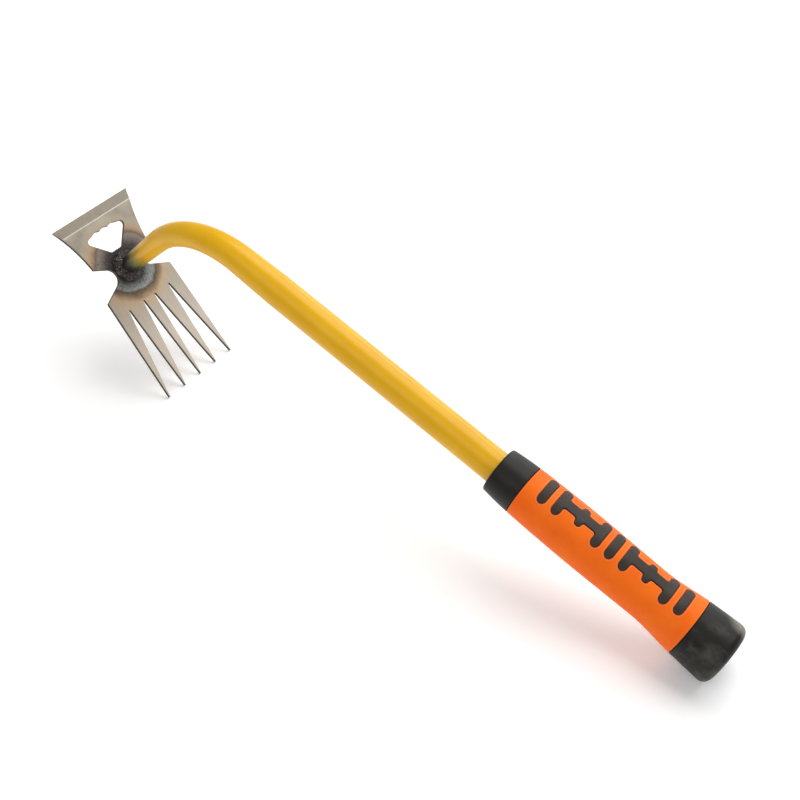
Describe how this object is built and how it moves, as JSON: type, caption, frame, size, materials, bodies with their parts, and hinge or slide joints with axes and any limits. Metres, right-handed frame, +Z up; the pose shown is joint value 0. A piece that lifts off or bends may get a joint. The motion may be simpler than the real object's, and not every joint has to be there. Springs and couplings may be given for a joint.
{
  "type": "hand weeder",
  "caption": "Hand weeder: a steel head with a scraper blade and a tined fork, welded to a bent, tapered, enamelled tube with a two-colour rubber grip.",
  "frame": {"origin": "on the bench, under the middle of the tool's bounding box, with the tool standing on its tine tips and the low edge of its end cap", "axes": "+Z up, +X from the head to the grip along the handle's run over the bench, +Y across the head"},
  "size_m": [0.4848, 0.065, 0.1344],
  "materials": {
    "steel": "satin, ground, with heat tint near the weld",
    "weld": "rough and burnt",
    "enamel": "gloss golden-yellow enamel",
    "orange_rubber": "satin",
    "black_rubber": "matte",
    "core_plastic": "moulded"
  },
  "bodies": {
    "root": {"head_plate": "steel", "weld_bead": "weld", "shaft_tube": "enamel", "front_collar": "black_rubber", "grip_core": "core_plastic", "grip_sleeve": "orange_rubber", "end_cap": "black_rubber", "pad_bar_front_top": "black_rubber", "pad_bar_front_under": "black_rubber", "pad_h_front_top": "black_rubber", "pad_h_front_under": "black_rubber", "pad_bar_middle_top": "black_rubber", "pad_bar_middle_under": "black_rubber", "pad_h_rear_top": "black_rubber", "pad_h_rear_under": "black_rubber", "pad_bar_rear_top": "black_rubber", "pad_bar_rear_under": "black_rubber"}
  },
  "joints": []
}
